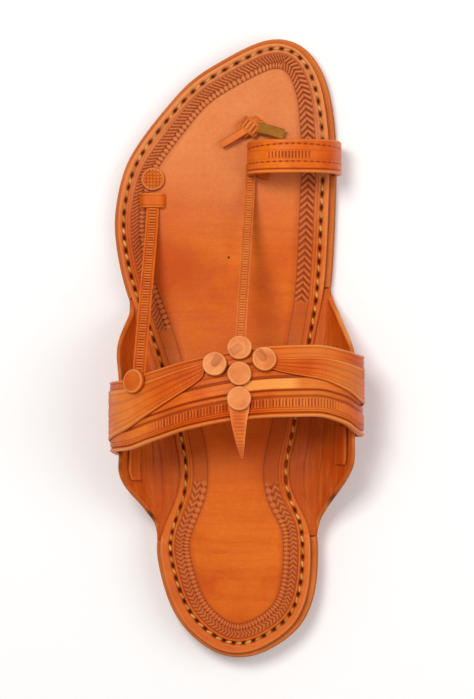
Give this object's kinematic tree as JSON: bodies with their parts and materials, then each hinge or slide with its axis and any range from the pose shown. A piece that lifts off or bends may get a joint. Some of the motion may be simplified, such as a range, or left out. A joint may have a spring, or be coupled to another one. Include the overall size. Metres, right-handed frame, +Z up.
{
  "type": "kolhapuri sandal",
  "caption": "Flat leather sandal with side ears, an instep band with buttons, a centre thong, a side strap and a toe ring on a stitched sole with a low stacked heel.",
  "frame": {"origin": "on the floor under the middle of the heel", "axes": "+Y from heel to toe, +X towards the big toe side, +Z up"},
  "size_m": [0.1147, 0.28, 0.0735],
  "materials": {
    "strap_leather": "satin, tooled",
    "ear_leather": "satin, creased",
    "insole_leather": "satin, tooled border",
    "sole_leather": "matt, burnished edge",
    "button_leather": "matt"
  },
  "bodies": {
    "root": {"outsole": "sole_leather", "heel_lift_lower": "sole_leather", "heel_lift_upper": "sole_leather", "middle_sole": "sole_leather", "insole": "insole_leather", "ear_lateral": "ear_leather", "ear_medial": "ear_leather", "upper": "strap_leather", "disc_front": "button_leather", "disc_lateral": "button_leather", "disc_medial": "button_leather", "disc_middle": "button_leather", "disc_rear": "button_leather", "disc_side": "button_leather", "disc_insole": "button_leather", "strap_loop": "strap_leather", "tail": "strap_leather", "toe_knot": "strap_leather", "lace_end_lateral": "strap_leather", "lace_end_medial": "strap_leather"}
  },
  "joints": []
}
